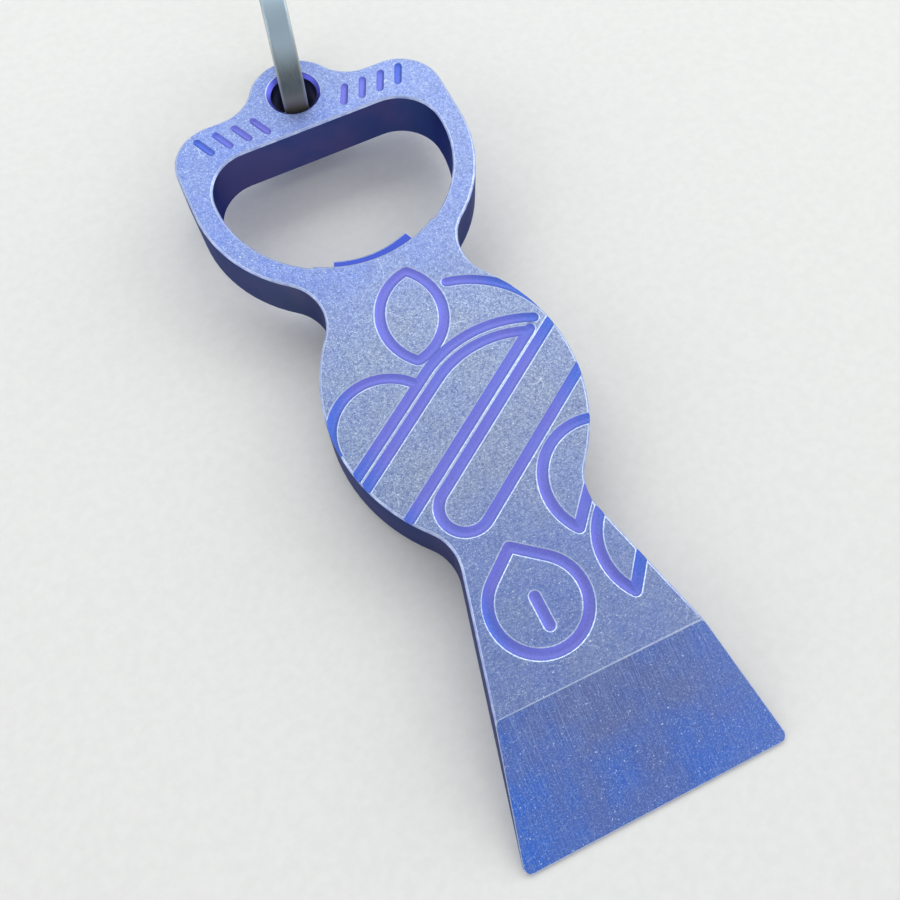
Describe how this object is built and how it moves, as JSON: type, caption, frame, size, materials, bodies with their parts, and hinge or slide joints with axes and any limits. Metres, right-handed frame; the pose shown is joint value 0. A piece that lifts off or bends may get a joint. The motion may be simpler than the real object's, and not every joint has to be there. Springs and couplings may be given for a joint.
{
  "type": "keychain bottle opener",
  "caption": "Flat pocket bottle opener with a cap opening and hook tooth, a bevelled scraper tip, grooved top face and a flat-strip key ring through its lug.",
  "frame": {"origin": "on the back face, on the plate's long centre line, half way between the scraper edge and the top of the lug", "axes": "+Z out of the grooved top face, +Y along the plate towards the ring lug, +X to the right seen from above"},
  "size_m": [0.0342, 0.1086, 0.02],
  "materials": {
    "anodised_titanium": "blue-violet anodised titanium, stonewashed on the top face",
    "ring_steel": "satin flat strip"
  },
  "bodies": {
    "opener": {"opener_body": "anodised_titanium"},
    "ring": {"key_ring": "ring_steel"}
  },
  "joints": [
    {"name": "ring_swing", "type": "hinge", "parent": "opener", "child": "ring", "pos_m": [0.00078, 0.04658, 0.00317], "axis": [0.9781, -0.2079, 0], "range_deg": [-80, 6]}
  ]
}
